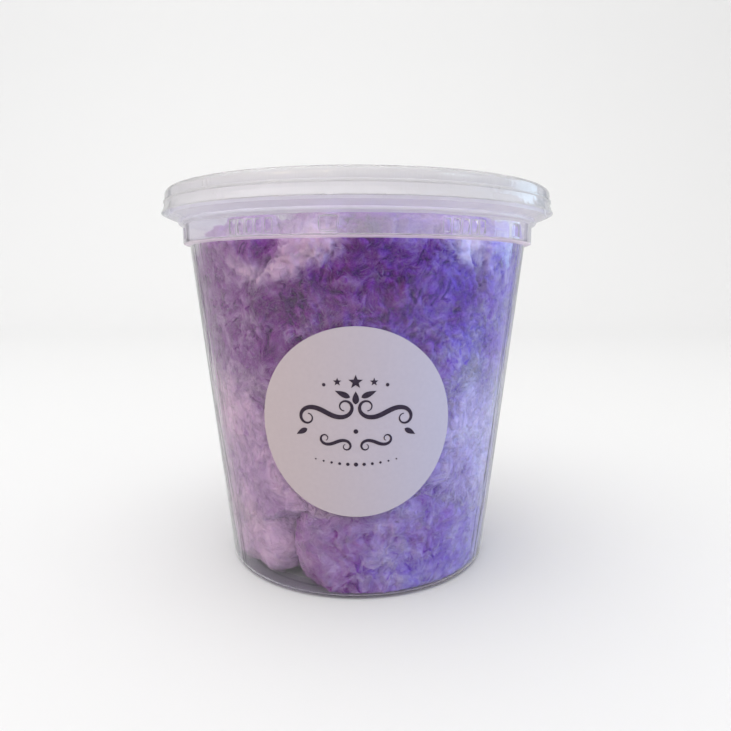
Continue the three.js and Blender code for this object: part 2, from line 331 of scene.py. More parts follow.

# patches in which the sugar is paler (above 0) or deeper (below 0): azimuth from the front in degrees,
# height and reach in mm, and by how much. A few are painted light or shade, as marked.
PATCHES = [
    # a paler V along the top left: partly thin fluff, partly a painted highlight along the tufts' edge
    (-46, 95.0, 2.6, 0.3),
    (-40, 91.5, 2.8, 0.42),
    (-35, 89.5, 2.8, 0.46),
    (-30, 88.3, 3.0, 0.52),
    (-25, 89.3, 3.4, 0.56),
    (-20, 91.0, 3.8, 0.62),
    (-15.5, 94.0, 4.0, 0.66),
    (-11, 97.0, 4.2, 0.6),
    (-5.5, 96.0, 4.2, 0.34),
    (-30, 96.0, 3.4, -0.24),
    (-12, 89.0, 4.0, -0.2),
    (-19, 83.5, 4.0, -0.24),
    (-29, 81.5, 3.6, -0.2),
    (-37, 76.0, 5.0, 0.14),
    (-41, 70.0, 3.0, -0.16),
    (-31, 68.0, 3.0, -0.16),
    (-36, 102.5, 5.0, 0.34),
    (-23, 102.5, 5.0, 0.34),
    (23, 102.5, 5.0, 0.46),
    (36, 102.5, 6.0, 0.85),
    # the pale clump at the top right: partly pale sugar, partly a painted highlight
    (36, 95.4, 4.4, 1.0),
    (41, 96.0, 4.5, 0.3),
    (33, 88.5, 5.0, -0.16),
    (-22, 14.0, 8.0, 0.08),
    (-42, 12.0, 9.0, 0.08),
    # painted shade in the hollow over the low left tuft
    (-29, 18.5, 5.0, -0.26),
    (-2, 6.0, 8.0, -0.12),
    (18, 6.0, 8.0, -0.18),
    (36, 9.0, 8.0, -0.16),
    (3, 101.0, 6.0, -0.3),
    (-12, 101.0, 4.0, 0.1),
    (-8, 104.0, 7.0, 0.15),
    (-17, 80.0, 8.0, -0.15),
    (-6, 86.0, 8.0, -0.12),
    (11, 93.0, 9.0, -0.15),
    (30, 85.0, 9.0, -0.15),
    # painted shadow of the label's top edge on the sugar just above it
    (4, 74.0, 9.0, -0.15),
    (-46, 55.0, 8.0, 0.12),
    (-30, 34.0, 7.0, 0.1),
    (40, 47.0, 9.0, 0.1),
    (62, 48.0, 12.0, 0.14),
    (60, 26.0, 9.0, 0.1),
    (-62, 46.0, 12.0, 0.2),
    (-60, 24.0, 8.0, 0.12),
    (-35, 55.0, 2.4, -0.34),
    (-45, 57.0, 2.2, -0.26),
    (29, 40.0, 3.4, -0.24),
    (115, 88.0, 9.0, 0.3),
    (160, 94.0, 8.0, 0.35),
    (-150, 86.0, 8.0, 0.3),
    (-105, 92.0, 7.0, 0.3),
    (135, 66.0, 9.0, -0.2),
    (-170, 70.0, 10.0, -0.2),
]


def on_wall(azimuth, height):
    """The point inside the wall at an azimuth, in degrees from the front, and a height, in mm."""
    turn = math.radians(azimuth)
    radius = wall_radius(height * MM) - TUB_SHEET
    return Vector((radius * math.sin(turn), -radius * math.cos(turn), height * MM))


patches = [(on_wall(azimuth, height), reach * MM, change) for azimuth, height, reach, change in PATCHES]
hollows = [(on_wall(azimuth, height), reach * MM) for azimuth, height, reach in HOLLOWS]


def is_in_shell(spot):
    """Whether a point of a mat is near the wall or the lid, and not deep inside the tub."""
    return math.hypot(spot.x, spot.y) > SHELL_SHARE * wall_radius(spot.z) or spot.z > LID_SHELL_FROM


def in_upper_part(height):
    """From 0 for a height in the lower part of the tub to 1 for one in the upper part."""
    up = min(max((height - DEEP_FROM) / (DEEP_TO - DEEP_FROM), 0), 1)
    return up * up * (3 - 2 * up)


def dye_and_painted_light_at(spot, own_dye):
    """How deep the dye is at a point of a tuft, with the painted shade, shadow and highlight of some
    patches.
    """
    dye_and_painted_light = own_dye + LOW_DYE + (HIGH_DYE - LOW_DYE) * in_upper_part(spot.z)
    if is_in_shell(spot):
        for centre, reach, change in patches:
            near = (spot - centre).length_squared / reach**2
            if near < PATCH_END:
                dye_and_painted_light -= change * math.exp(-near)
    return dye_and_painted_light


def base_height(radius):
    """The height of the base's upper face, which is lowest in the trough over the foot ring."""
    into_trough = min(max((radius - ring_inner + TROUGH_SLOPE) / TROUGH_SLOPE, 0), 1)
    return BASE_INSIDE + (TUB_SHEET - BASE_INSIDE) * into_trough


def held_inside(spot, space):
    """A point moved inwards, where needed, to stay inside the wall, the base and the lid."""
    reach = math.hypot(spot.x, spot.y)
    lowest = base_height(reach) + min(space, WALL_SPACE)
    height = min(max(spot.z, lowest), LID_UNDERSIDE - space)
    corner = FOOT_CORNER - TUB_SHEET
    under = min(max(FOOT_CORNER - height, 0), corner)
    room = wall_radius(max(height, FOOT_CORNER)) - TUB_SHEET - space
    room += math.sqrt(corner**2 - under**2) - corner
    share = min(1, room / reach) if reach else 1
    return Vector((spot.x * share, spot.y * share, height))


def thread_direction(name):
    """The way in which most of a tuft's threads lie."""
    draw = random.Random(name)
    return Vector((draw.gauss(0, 1), draw.gauss(0, 1), draw.gauss(0, 1))).normalized()


def matted(spot, along):
    """How raised the mat is at a point: its lumps, its torn clumps and its wisps, each about -1 to 1."""
    swirled = spot + noise.noise_vector(spot / SWIRL_SIZE) * SWIRL_REACH * MM
    lengthwise = swirled.dot(along)
    stretched = swirled - along * lengthwise * (1 - 1 / WISP_STRETCH)
    lump = 1.6 * noise.noise(spot / LUMP_SIZE)
    clump = 3.0 * abs(noise.noise(swirled / CLUMP_SIZE)) - 0.8
    wisp = 1 - 3.2 * abs(noise.noise(stretched / WISP_SIZE + Vector((3, 9, 1))))
    return lump, clump, wisp


def even_and_soften(piece, smoothings):
    """Gives a piece an even mesh and rounds it off."""
    even = piece.modifiers.new("even", "REMESH")
    even.mode = "VOXEL"
    even.voxel_size = EVEN_VOXEL
    soften = piece.modifiers.new("soften", "SMOOTH")
    soften.factor = 0.5
    soften.iterations = smoothings
    for step in (even, soften):
        bpy.ops.object.modifier_apply(modifier=step.name)


def swell(piece, reach, upward):
    """Swells a piece until a wall stops it, least where it faces up and most where it faces down."""
    spots = [(vertex.co.copy(), vertex.normal.copy()) for vertex in piece.data.vertices]
    for vertex, (spot, outward) in zip(piece.data.vertices, spots):
        facing = upward - 1 if outward.z > 0 else 1 - DOWNWARD_SWELL
        swollen = reach * (1 + facing * outward.z)
        for centre, width in hollows:
            swollen *= 1 - math.exp(-((spot - centre).length_squared) / width**2)
        vertex.co = held_inside(spot + outward * swollen, WALL_SPACE)
    piece.data.update()


def tuft_piece(name):
    """A tuft's CAD solid, swollen until its gaps close and matted like pulled sugar."""
    piece = bpy.data.objects.new(name.replace("tuft", "floss"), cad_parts[name].data.copy())
    bpy.context.scene.collection.objects.link(piece)
    piece.data.materials.clear()
    bpy.ops.object.select_all(action="DESELECT")
    piece.select_set(True)
    bpy.context.view_layer.objects.active = piece
    bpy.ops.object.mode_set(mode="EDIT")
    bpy.ops.mesh.select_all(action="SELECT")
    bpy.ops.mesh.remove_doubles(threshold=0.01 * MM)
    bpy.ops.object.mode_set(mode="OBJECT")
    own_dye, reach = TUFTS[name]
    even_and_soften(piece, FIRST_SMOOTHINGS)
    swell(piece, reach * MM, TOP_UPWARD_SWELL if "top" in name else UPWARD_SWELL)
    even_and_soften(piece, LAST_SMOOTHINGS)
    finer = piece.modifiers.new("finer", "SUBSURF")
    finer.levels = finer.render_levels = 1
    bpy.ops.object.modifier_apply(modifier=finer.name)

    vertices = piece.data.vertices
    spots = [(vertex.co.copy(), vertex.normal.copy()) for vertex in vertices]
    along = thread_direction(name)
    places, levels, dyes_and_painted_light = [], [], []
    for spot, outward in spots:
        lump, clump, wisp = matted(spot, along)
        crisp = LOW_CRISPNESS + (1 - LOW_CRISPNESS) * in_upper_part(spot.z)
        # the level sets the colour: paler where the mat is raised, deeper in its hollows, partly as
        # painted shade
        level = 0.5 + 0.1 * lump + 0.22 * crisp * (clump + wisp)
        height = AFTER_SMOOTHING + LUMP_HEIGHT * lump + crisp * (CLUMP_HEIGHT * clump + WISP_HEIGHT * wisp)
        space = WALL_SPACE + PRESSED_RELIEF * min(max(0.8 - level, 0), 1)
        place = held_inside(spot + outward * height, space)
        places.extend(place)
        levels.append(level)
        dyes_and_painted_light.append(dye_and_painted_light_at(place, own_dye))
    vertices.foreach_set("co", places)
    piece.data.attributes.new("fluff_and_hollow_shade", "FLOAT", "POINT").data.foreach_set("value", levels)
    piece.data.attributes.new("dye_and_painted_light", "FLOAT", "POINT").data.foreach_set("value", dyes_and_painted_light)
    piece.data.update()
    piece.data.shade_smooth()
    return piece


COOL_DYE_AND_LIGHT_BY_SIDE = 12  # for each metre to the right, how far the colour turns from warm violet to blue: partly the sugar's dye, partly painted cool light from the right
HIGH_CRISPNESS = 1.45  # how strong the fine tones are where the dye is deep
LINE_SHARPNESS = 22
SHADED_PIT_BELOW = 0.41  # the level of the pit noise under which the colour is painted darker, as painted shade in small pits
PIT_SHADE_DEPTH = 2.5


def sugar_colour_group():
    """The colour and the fine relief of spun sugar, from how raised its mat is and how deep its dye, with
    painted shade in its hollows and pits, and bluer towards the right, partly as painted cool light.
    """
    group = bpy.data.node_groups.new("sugar_colour", "ShaderNodeTree")
    group.interface.new_socket("Paleness", in_out="INPUT", socket_type="NodeSocketFloat")
    group.interface.new_socket("Color", in_out="OUTPUT", socket_type="NodeSocketColor")
    group.interface.new_socket("Height", in_out="OUTPUT", socket_type="NodeSocketFloat")
    nodes, links = group.nodes, group.links

    def put(socket, value):
        if isinstance(value, (int, float)):
            socket.default_value = value
        else:
            links.new(value, socket)

    def maths(operation, first, second, third=0.0):
        step = nodes.new("ShaderNodeMath")
        step.operation = operation
        for socket, value in zip(step.inputs, (first, second, third)):
            put(socket, value)
        return step.outputs[0]

    def measured(name):
        attribute = nodes.new("ShaderNodeAttribute")
        attribute.attribute_name = name
        return attribute.outputs["Fac"]

    def noise_at(place, scale, detail, distortion):
        texture = nodes.new("ShaderNodeTexNoise")
        texture.inputs["Scale"].default_value = scale
        texture.inputs["Detail"].default_value = detail
        texture.inputs["Distortion"].default_value = distortion
        links.new(place, texture.inputs["Vector"])
        return texture

    def thread_lines(channel):
        """1 on the thin winding lines where a noise passes its middle value, 0 away from them."""
        away = maths("ABSOLUTE", maths("SUBTRACT", channel, 0.5), 0)
        return maths("MAXIMUM", maths("MULTIPLY_ADD", away, -LINE_SHARPNESS, 1), 0)

    def shades(level, colours):
        """A ramp with evenly spaced colours, from the deepest to the palest."""
        ramp = nodes.new("ShaderNodeValToRGB")
        stops = ramp.color_ramp.elements
        for i, colour in enumerate(colours):
            position = i / (len(colours) - 1)
            stop = stops[0] if i == 0 else stops[-1] if position == 1 else stops.new(position)
            stop.position, stop.color = position, linear(*colour)
        links.new(level, ramp.inputs["Fac"])
        return ramp.outputs["Color"]

    given = nodes.new("NodeGroupInput")
    place = nodes.new("ShaderNodeTexCoord").outputs["Object"]

    def carried(point, carrier, reach):
        """A point shifted by a noise, so that what is drawn there swirls."""
        shift = nodes.new("ShaderNodeVectorMath")
        shift.operation = "MULTIPLY_ADD"
        shift.inputs[1].default_value = (reach, reach, reach)
        links.new(carrier.outputs["Color"], shift.inputs[0])
        links.new(point, shift.inputs[2])
        return shift.outputs[0]

    swirled = carried(place, noise_at(place, 110, 1, 0), 0.009)
    matted_place = carried(swirled, noise_at(place, 420, 1, 0), 0.0022)

    winding = nodes.new("ShaderNodeSeparateColor")
    links.new(noise_at(matted_place, 360, 1.5, 0.4).outputs["Color"], winding.inputs[0])
    finer = nodes.new("ShaderNodeSeparateColor")
    links.new(noise_at(matted_place, 700, 1.0, 0.3).outputs["Color"], finer.inputs[0])
    lines = 0.0
    for channel in (*winding.outputs, *finer.outputs):
        lines = maths("MAXIMUM", lines, thread_lines(channel))
    clots = noise_at(matted_place, 230, 4, 0.6).outputs["Fac"]
    clouds = noise_at(place, 70, 2, 0).outputs["Fac"]
    pit_noise = noise_at(swirled, 300, 2, 0.8).outputs["Fac"]
    # pits: spots painted darker, as painted shade in small gaps of the mat; no dent is made
    shaded_pits = maths("MAXIMUM", maths("SUBTRACT", SHADED_PIT_BELOW, pit_noise), 0)

    # raised parts paler and hollows deeper: partly the sugar's own density, partly painted shade in the
    # hollows
    raised = maths("MULTIPLY_ADD", maths("SUBTRACT", measured("fluff_and_hollow_shade"), 0.5), 0.32, 1.0)
    dyed_and_painted_light = maths("ADD", maths("SUBTRACT", raised, measured("dye_and_painted_light")), given.outputs["Paleness"])
    cloudy = maths("MULTIPLY_ADD", maths("SUBTRACT", clouds, 0.5), 0.6, dyed_and_painted_light)
    clotted = maths("MULTIPLY", maths("SUBTRACT", clots, 0.5), 0.75)
    with_shaded_pits = maths("MULTIPLY_ADD", shaded_pits, -PIT_SHADE_DEPTH, clotted)
    fine = maths("MULTIPLY_ADD", lines, 0.09, with_shaded_pits)
    crisp = nodes.new("ShaderNodeMapRange")
    crisp.inputs["From Min"].default_value = LOW_DYE
    crisp.inputs["From Max"].default_value = HIGH_DYE
    crisp.inputs["To Min"].default_value = LOW_CRISPNESS
    crisp.inputs["To Max"].default_value = HIGH_CRISPNESS
    put(crisp.inputs["Value"], measured("dye_and_painted_light"))
    level = maths("MULTIPLY_ADD", fine, crisp.outputs["Result"], cloudy)
    warm = shades(level, ((86, 4, 110), (138, 38, 158), (167, 111, 187), (205, 169, 218), (243, 207, 244)))
    cool = shades(level, ((60, 30, 180), (94, 74, 226), (137, 119, 222), (189, 176, 216), (240, 228, 238)))
    across = nodes.new("ShaderNodeSeparateXYZ")
    links.new(place, across.inputs[0])
    # bluer towards the right: partly the sugar's own dye, partly painted cool light from the right
    side = maths("MULTIPLY_ADD", across.outputs["X"], COOL_DYE_AND_LIGHT_BY_SIDE, 0.08)
    cool_dye_and_light = maths("MULTIPLY_ADD", maths("SUBTRACT", clouds, 0.5), 1.2, side)
    tint = nodes.new("ShaderNodeMix")
    tint.data_type = "RGBA"
    links.new(cool_dye_and_light, tint.inputs["Factor"])
    links.new(warm, tint.inputs[6])
    links.new(cool, tint.inputs[7])
    result = nodes.new("NodeGroupOutput")
    links.new(tint.outputs[2], result.inputs["Color"])
    links.new(maths("MULTIPLY_ADD", lines, 0.3, clots), result.inputs["Height"])
    return group


sugar_colour = sugar_colour_group()


def spun_sugar(name, paleness):
    """Matted sugar threads: soft, slightly see-through and with a faint sheen."""
    material = bpy.data.materials.new(name)
    material.use_nodes = True
    nodes, links = material.node_tree.nodes, material.node_tree.links
    sugar = nodes["Principled BSDF"]
    sugar.inputs["Roughness"].default_value = 0.8
    sugar.inputs["Specular IOR Level"].default_value = 0.12
    sugar.inputs["Subsurface Weight"].default_value = 0.5
    sugar.inputs["Subsurface Radius"].default_value = (1.0, 0.7, 1.0)
    sugar.inputs["Subsurface Scale"].default_value = 2.0 * MM
    sugar.inputs["Sheen Weight"].default_value = 0.25
    sugar.inputs["Sheen Tint"].default_value = linear(205, 160, 235)
    sugar.inputs["Sheen Roughness"].default_value = 0.4
    tone = nodes.new("ShaderNodeGroup")
    tone.node_tree = sugar_colour
    tone.inputs["Paleness"].default_value = paleness
    bump = nodes.new("ShaderNodeBump")
    bump.inputs["Strength"].default_value = 0.7
    bump.inputs["Distance"].default_value = 0.6 * MM
    links.new(tone.outputs["Color"], sugar.inputs["Base Color"])
    links.new(tone.outputs["Height"], bump.inputs["Height"])
    links.new(bump.outputs["Normal"], sugar.inputs["Normal"])
    return material


matted_sugar = spun_sugar("matted_sugar", 0.03)
floss = {name: tuft_piece(name) for name in sorted(TUFTS)}
for name, piece in floss.items():
    piece.data.materials.append(matted_sugar)
    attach(piece, "root")
    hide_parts(name)

# ---- the loose threads ---------------------------------------------------------------------------
# Single threads that stand off the mats and curl over the creases, each tapered at both ends.
THREADS_PER_POINT = 0.12  # for each point of a mat that can be seen
THREAD_POINTS = 5
THREAD_SIDES = 3
THREAD_STEP = (0.5 * MM, 1.25 * MM)
THREAD_RADIUS = (0.04 * MM, 0.1 * MM)
THREAD_LIFT = (0.05 * MM, 0.7 * MM)
THREAD_BEND = 0.55
THREAD_END = 0.2  # the share of its thickness that a thread keeps at its ends
STRAY_SIZE = 7 * MM
STRAY = 2.5  # how far threads stray from the way that most of a tuft's threads lie
THREAD_SPACE = 0.15 * MM


def thread_path(surface, start, heading, draw):
    """The places of one thread's rings, each with its thickness and the two ways across it."""
    step = draw.uniform(*THREAD_STEP)
    thickness = draw.uniform(*THREAD_RADIUS)
    lift = draw.uniform(*THREAD_LIFT)
    bend = draw.gauss(0, THREAD_BEND)
    path = []
    spot = start
    for i in range(THREAD_POINTS):
        arch = math.sin(math.pi * i / (THREAD_POINTS - 1))
        near, outward, _face, _way = surface.find_nearest(spot)
        heading = (heading - outward * heading.dot(outward)).normalized()
        side = outward.cross(heading)
        place = held_inside(near + outward * lift * arch, THREAD_SPACE)
        path.append((place, thickness * (THREAD_END + (1 - THREAD_END) * arch), side, outward))
        heading = (heading + side * bend).normalized()
        spot = near + heading * step
    return path


def threads_on(name, piece):
    """The loose threads of one tuft, as one mesh."""
    draw = random.Random("threads of " + name)
    surface = BVHTree.FromObject(piece, bpy.context.evaluated_depsgraph_get())
    along = thread_direction(name)
    starts = [vertex.co.copy() for vertex in piece.data.vertices if is_in_shell(vertex.co)]
    corners, faces, levels, dyes_and_painted_light = [], [], [], []
    for _ in range(round(len(starts) * THREADS_PER_POINT)):
        start = draw.choice(starts)
        heading = (along + noise.noise_vector(start / STRAY_SIZE) * STRAY) * draw.choice((-1, 1))
        spread = 0.15 + 0.25 * in_upper_part(start.z)
        level = draw.uniform(0.6 - spread, 0.6 + spread)
        dye_and_painted_light = dye_and_painted_light_at(start, TUFTS[name][0])
        first = len(corners)
        for place, thickness, side, outward in thread_path(surface, start, heading, draw):
            for corner in range(THREAD_SIDES):
                turn = 2 * math.pi * corner / THREAD_SIDES
                across = side * math.cos(turn) + outward * math.sin(turn)
                corners.append(place + across * thickness)
        last = len(corners) - THREAD_SIDES
        levels.extend([level] * (len(corners) - first))
        dyes_and_painted_light.extend([dye_and_painted_light] * (len(corners) - first))
        for ring in range(first, last, THREAD_SIDES):
            for corner in range(THREAD_SIDES):
                a, b = ring + corner, ring + (corner + 1) % THREAD_SIDES
                faces.append((a, b, b + THREAD_SIDES, a + THREAD_SIDES))
        faces.append(tuple(reversed(range(first, first + THREAD_SIDES))))
        faces.append(tuple(range(last, last + THREAD_SIDES)))
    mesh = bpy.data.meshes.new(piece.name + "_threads")
    mesh.from_pydata(corners, [], faces)
    mesh.attributes.new("fluff_and_hollow_shade", "FLOAT", "POINT").data.foreach_set("value", levels)
    mesh.attributes.new("dye_and_painted_light", "FLOAT", "POINT").data.foreach_set("value", dyes_and_painted_light)
    mesh.shade_smooth()
    threads = bpy.data.objects.new(mesh.name, mesh)
    bpy.context.scene.collection.objects.link(threads)
    return threads


loose_sugar = spun_sugar("loose_sugar", 0.11)
for name, piece in floss.items():
    threads = threads_on(name, piece)
    threads.data.materials.append(loose_sugar)
    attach(threads, "root")

# ---- the lid -------------------------------------------------------------------------------------
# A clear lid that is pushed on over the rim. Its panel is recessed, so that the next tub's foot
# stands in it, a hollow ring runs over the rim, and the skirt has a bead and a flared lip.
LID_SHEET = 0.5 * MM
PANEL_DISC_RADIUS = 14 * MM
PANEL_RADIUS = 51.2 * MM
PANEL_HEIGHT = 107.6 * MM
RING_INSIDE_RADIUS = 53.3 * MM
RING_INSIDE_CORNER = 1.2 * MM
RING_OUTSIDE_CORNER = 1.6 * MM
SKIRT_TOP_RADIUS = 58.1 * MM
SKIRT_RADIUS = 58.4 * MM
LIP_RADIUS = 59.2 * MM
LIP_RISE = 1.6 * MM
LIP_HEIGHT = 106.1 * MM
BEAD_HEIGHT = 109.2 * MM

crest = cad_high[2]
inside_corner = RING_INSIDE_RADIUS + RING_INSIDE_CORNER
outside_corner = SKIRT_TOP_RADIUS - RING_OUTSIDE_CORNER
lid = raise_rings(
    "lid_shell",
    [
        (PANEL_DISC_RADIUS, PANEL_HEIGHT),
        *straight((PANEL_DISC_RADIUS, PANEL_HEIGHT), (PANEL_RADIUS - 3 * MM, PANEL_HEIGHT), 6),
        (PANEL_RADIUS - 0.6 * MM, PANEL_HEIGHT),
        (PANEL_RADIUS, PANEL_HEIGHT + 0.3 * MM),
        *arc(inside_corner, crest - RING_INSIDE_CORNER, RING_INSIDE_CORNER, 165, 90, 6),
        *arc(outside_corner, crest - RING_OUTSIDE_CORNER, RING_OUTSIDE_CORNER, 90, 0, 8),
        (SKIRT_TOP_RADIUS, BEAD_HEIGHT + 0.5 * MM),
        (SKIRT_RADIUS + 0.15 * MM, BEAD_HEIGHT + 0.2 * MM),
        (SKIRT_RADIUS + 0.15 * MM, BEAD_HEIGHT - 0.1 * MM),
        (SKIRT_RADIUS - 0.15 * MM, BEAD_HEIGHT - 0.4 * MM),
        (SKIRT_RADIUS, LIP_HEIGHT + LIP_RISE + 0.3 * MM),
        (SKIRT_RADIUS + 0.1 * MM, LIP_HEIGHT + LIP_RISE),
        (SKIRT_RADIUS + 0.4 * MM, LIP_HEIGHT + LIP_RISE * 0.5),
        (LIP_RADIUS, LIP_HEIGHT),
    ],
)
thicken(lid, LID_SHEET)
lid.data.materials.append(clear_plastic("milky_lid_sheet", linear(241, 240, 242), 0.72, 0.1, 0.9))
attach(lid, "root")
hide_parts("lid")

# ---- the label -----------------------------------------------------------------------------------
# A two inch round of smooth white paper, stuck flat on the tapered wall, so that it bends round it.
LABEL_RADIUS = 25.4 * MM
LABEL_HEIGHT = 50.6 * MM
LABEL_SIDES = 128
LABEL_RINGS = 11
LABEL_BACK = 0.04 * MM  # the glue under the paper
PAPER = 0.22 * MM


def bent_on_wall(piece, lift):
    """Bends a flat piece, drawn about the origin with X across and Y up, round the wall."""
    for vertex in piece.data.vertices:
        height = LABEL_HEIGHT + vertex.co.y
        turn = vertex.co.x / wall_radius(height)
        radius = wall_radius(height) + lift + vertex.co.z
        vertex.co = (radius * math.sin(turn), -radius * math.cos(turn), height)


bpy.ops.object.select_all(action="DESELECT")
bpy.ops.mesh.primitive_circle_add(vertices=LABEL_SIDES, radius=LABEL_RADIUS, fill_type="NGON")
label = bpy.context.object
label.name = "label_paper"
bpy.ops.object.mode_set(mode="EDIT")
for ring in range(LABEL_RINGS, 0, -1):
    shrink = ring / (ring + 1)
    bpy.ops.mesh.inset(thickness=0)
    bpy.ops.transform.resize(value=(shrink, shrink, 1), center_override=(0, 0, 0))
bpy.ops.mesh.poke()
bpy.ops.object.mode_set(mode="OBJECT")
bent_on_wall(label, LABEL_BACK + PAPER)
thicken(label, PAPER)


def label_paper():
    """Smooth label paper with a faint tooth, its white painted down to a pinkish grey as painted shade on
    its front.
    """
    material = bpy.data.materials.new("smooth_paper_painted_shade")
    material.use_nodes = True
    nodes, links = material.node_tree.nodes, material.node_tree.links
    paper = nodes["Principled BSDF"]
    paper.inputs["Roughness"].default_value = 0.55
    place = nodes.new("ShaderNodeTexCoord")
    tooth = nodes.new("ShaderNodeTexNoise")
    tooth.inputs["Scale"].default_value = 900
    tooth.inputs["Detail"].default_value = 3
    tone = nodes.new("ShaderNodeValToRGB")
    # a pinkish grey in place of white: painted shade, as the label's front faces away from the light
    tone.color_ramp.elements[0].color = linear(178, 167, 171)
    tone.color_ramp.elements[1].color = linear(186, 175, 178)
    bump = nodes.new("ShaderNodeBump")
    bump.inputs["Strength"].default_value = 0.15
    bump.inputs["Distance"].default_value = 0.05 * MM
    links.new(place.outputs["Object"], tooth.inputs["Vector"])
    links.new(tooth.outputs["Fac"], tone.inputs["Fac"])
    links.new(tone.outputs["Color"], paper.inputs["Base Color"])
    links.new(tooth.outputs["Fac"], bump.inputs["Height"])
    links.new(bump.outputs["Normal"], paper.inputs["Normal"])
    return material


label.data.materials.append(label_paper())
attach(label, "root")
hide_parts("label")

# ---- the label's print ---------------------------------------------------------------------------
# A plain printed ornament in dark ink: mirrored scrolls and leaves round a star, over a dotted rule.
INK = 0.03 * MM
INK_BACK = LABEL_BACK + PAPER + 0.03 * MM
STROKE_STEPS = 48


def closed_outline(curve, points):
    """Adds one shape with a filled outline to a flat curve, its points in mm."""
    spline = curve.splines.new("POLY")
    spline.points.add(len(points) - 1)
    for point, (across, up) in zip(spline.points, points):
        point.co = (across * MM, up * MM, 0, 1)
    spline.use_cyclic_u = True


def star(across, up, size):
    """The outline of a star with five points."""
    turns = [math.pi * (0.5 + i / 5) for i in range(10)]
    radii = [size, size * 0.42] * 5
    return [(across + r * math.cos(t), up + r * math.sin(t)) for r, t in zip(radii, turns)]


def dot(across, up, size):
    """The outline of a round dot."""
    turns = [2 * math.pi * i / 20 for i in range(20)]
    return [(across + size * math.cos(t), up + size * math.sin(t)) for t in turns]


def leaf(across, up, length, width, heading):
    """The outline of a leaf that starts at a point."""
    along = Vector((math.cos(heading), math.sin(heading)))
    aside = Vector((-math.sin(heading), math.cos(heading)))
    shares = [i / 12 for i in range(13)]
    edge = [(share * length, width / 2 * math.sin(math.pi * share**0.7)) for share in shares]
    sides = edge + [(x, -y) for x, y in reversed(edge[1:-1])]
    return [(across + along.x * x + aside.x * y, up + along.y * x + aside.y * y) for x, y in sides]


def scroll(middle, length, width, heading, winding):
    """The outline of an S-shaped pen stroke that winds up at both ends, thickest at its middle."""
    spots, ways = [Vector(middle)], [heading]
    for half in (-1, 1):
        spot = Vector(middle)
        for i in range(1, STROKE_STEPS + 1):
            way = heading + winding * (i / STROKE_STEPS) ** 2
            spot = spot + half * Vector((math.cos(way), math.sin(way))) * length / 2 / STROKE_STEPS
            spots.append(spot)
            ways.append(way)
        spots.reverse()
        ways.reverse()
    spots.reverse()
    ways.reverse()
    left, right = [], []
    for i, (spot, way) in enumerate(zip(spots, ways)):
        share = i / (len(spots) - 1)
        aside = Vector((-math.sin(way), math.cos(way))) * width / 2
        aside *= 0.2 + 0.8 * math.sin(math.pi * share) ** 1.5
        left.append(tuple(spot + aside))
        right.append(tuple(spot - aside))
    return left + right[::-1]


ornament = bpy.data.curves.new("label_print", "CURVE")
ornament.dimensions = "2D"
ornament.fill_mode = "BOTH"
half_ornament = [
    scroll((7.6, 3.4), 30, 1.3, math.radians(28), math.radians(-380)),
    scroll((5.2, -4.6), 17, 0.9, math.radians(-24), math.radians(360)),
    leaf(1.4, 7.4, 4.2, 1.5, math.radians(24)),
    leaf(12.6, -1.2, 3.4, 1.4, math.radians(-30)),
    star(4.6, 11.4, 1.1),
    dot(8.0, 10.6, 0.45),
]
for share in range(1, 6):
    half_ornament.append(dot(2.1 * share, -10.6 + 0.05 * share**2, 0.5 - 0.06 * share))
for outline in half_ornament:
    closed_outline(ornament, outline)
    closed_outline(ornament, [(-across, up) for across, up in reversed(outline)])
middle_ornament = (
    star(0, 11.4, 1.9),
    leaf(0, 5.6, 3.4, 1.7, math.pi / 2),
    dot(0, -10.6, 0.55),
    dot(0, -1.6, 0.6),
)
for outline in middle_ornament:
    closed_outline(ornament, outline)
bpy.ops.object.select_all(action="DESELECT")
label_print = bpy.data.objects.new("label_print", ornament)
bpy.context.scene.collection.objects.link(label_print)
label_print.select_set(True)
bpy.context.view_layer.objects.active = label_print
bpy.ops.object.convert(target="MESH")
label_print = bpy.context.object
bpy.ops.object.mode_set(mode="EDIT")
bpy.ops.mesh.select_all(action="SELECT")
bpy.ops.mesh.remove_doubles(threshold=0.001 * MM)
bpy.ops.mesh.beautify_fill()
bpy.ops.object.mode_set(mode="OBJECT")
bent_on_wall(label_print, INK_BACK + INK)
thicken(label_print, INK)


def printing_ink():
    """Dark ink with a slight gloss, a little uneven where the paper took less of it."""
    material = bpy.data.materials.new("dark_ink")
    material.use_nodes = True
    nodes, links = material.node_tree.nodes, material.node_tree.links
    ink = nodes["Principled BSDF"]
    ink.inputs["Roughness"].default_value = 0.4
    place = nodes.new("ShaderNodeTexCoord")
    mottle = nodes.new("ShaderNodeTexNoise")
    mottle.inputs["Scale"].default_value = 1400
    tone = nodes.new("ShaderNodeValToRGB")
    tone.color_ramp.elements[0].color = linear(34, 24, 38)
    tone.color_ramp.elements[1].color = linear(70, 56, 72)
    links.new(place.outputs["Object"], mottle.inputs["Vector"])
    links.new(mottle.outputs["Fac"], tone.inputs["Fac"])
    links.new(tone.outputs["Color"], ink.inputs["Base Color"])
    return material


label_print.data.materials.append(printing_ink())
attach(label_print, "root")

# ---- the table and the backdrop ------------------------------------------------------------------
# A pale sweep: the table runs back and curves up into the backdrop, with no edge between them.
SWEEP_WIDTH = 6.0
SWEEP_FRONT = -0.4
SWEEP_BACK = 1.6
SWEEP_TOP = 3.0
SWEEP_CURVE = 0.8

